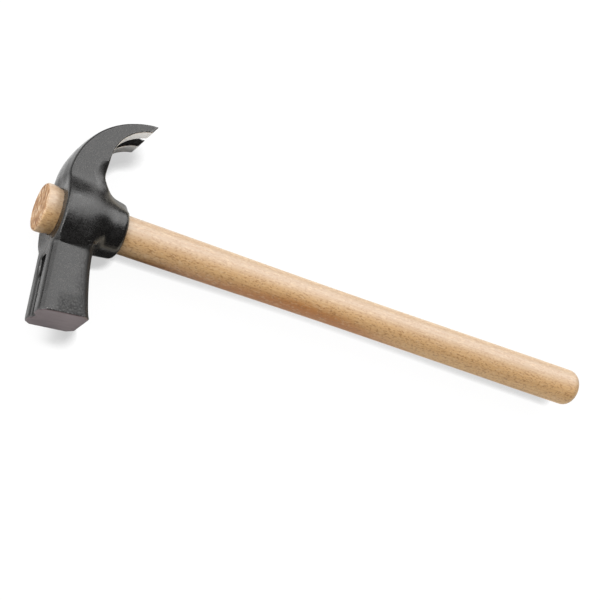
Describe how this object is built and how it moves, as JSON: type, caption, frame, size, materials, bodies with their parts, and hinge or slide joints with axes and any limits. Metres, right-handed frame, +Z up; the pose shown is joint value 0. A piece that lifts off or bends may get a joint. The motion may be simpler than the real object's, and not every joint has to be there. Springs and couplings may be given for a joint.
{
  "type": "curved claw hammer",
  "caption": "Curved claw hammer: black forged head with square chamfered poll, nail groove and V-slotted claw, on a turned beech handle pushed through its tapered eye.",
  "frame": {"origin": "below the middle of the hammer's box, on the surface that the hammer lies on", "axes": "+X along the handle from the head to the butt, +Y from the striking face to the claw, +Z up out of the cheek, with the hammer lying on its side"},
  "size_m": [0.4, 0.1388, 0.0488],
  "materials": {
    "black_paint": "black satin paint over forged steel, ground bare on the striking face",
    "beech": "turned beech, smooth and lightly oiled",
    "magnet_steel": "dark sintered magnet, matt"
  },
  "bodies": {
    "root": {"hammer_head": "black_paint", "handle": "beech", "nail_magnet": "magnet_steel"}
  },
  "joints": []
}
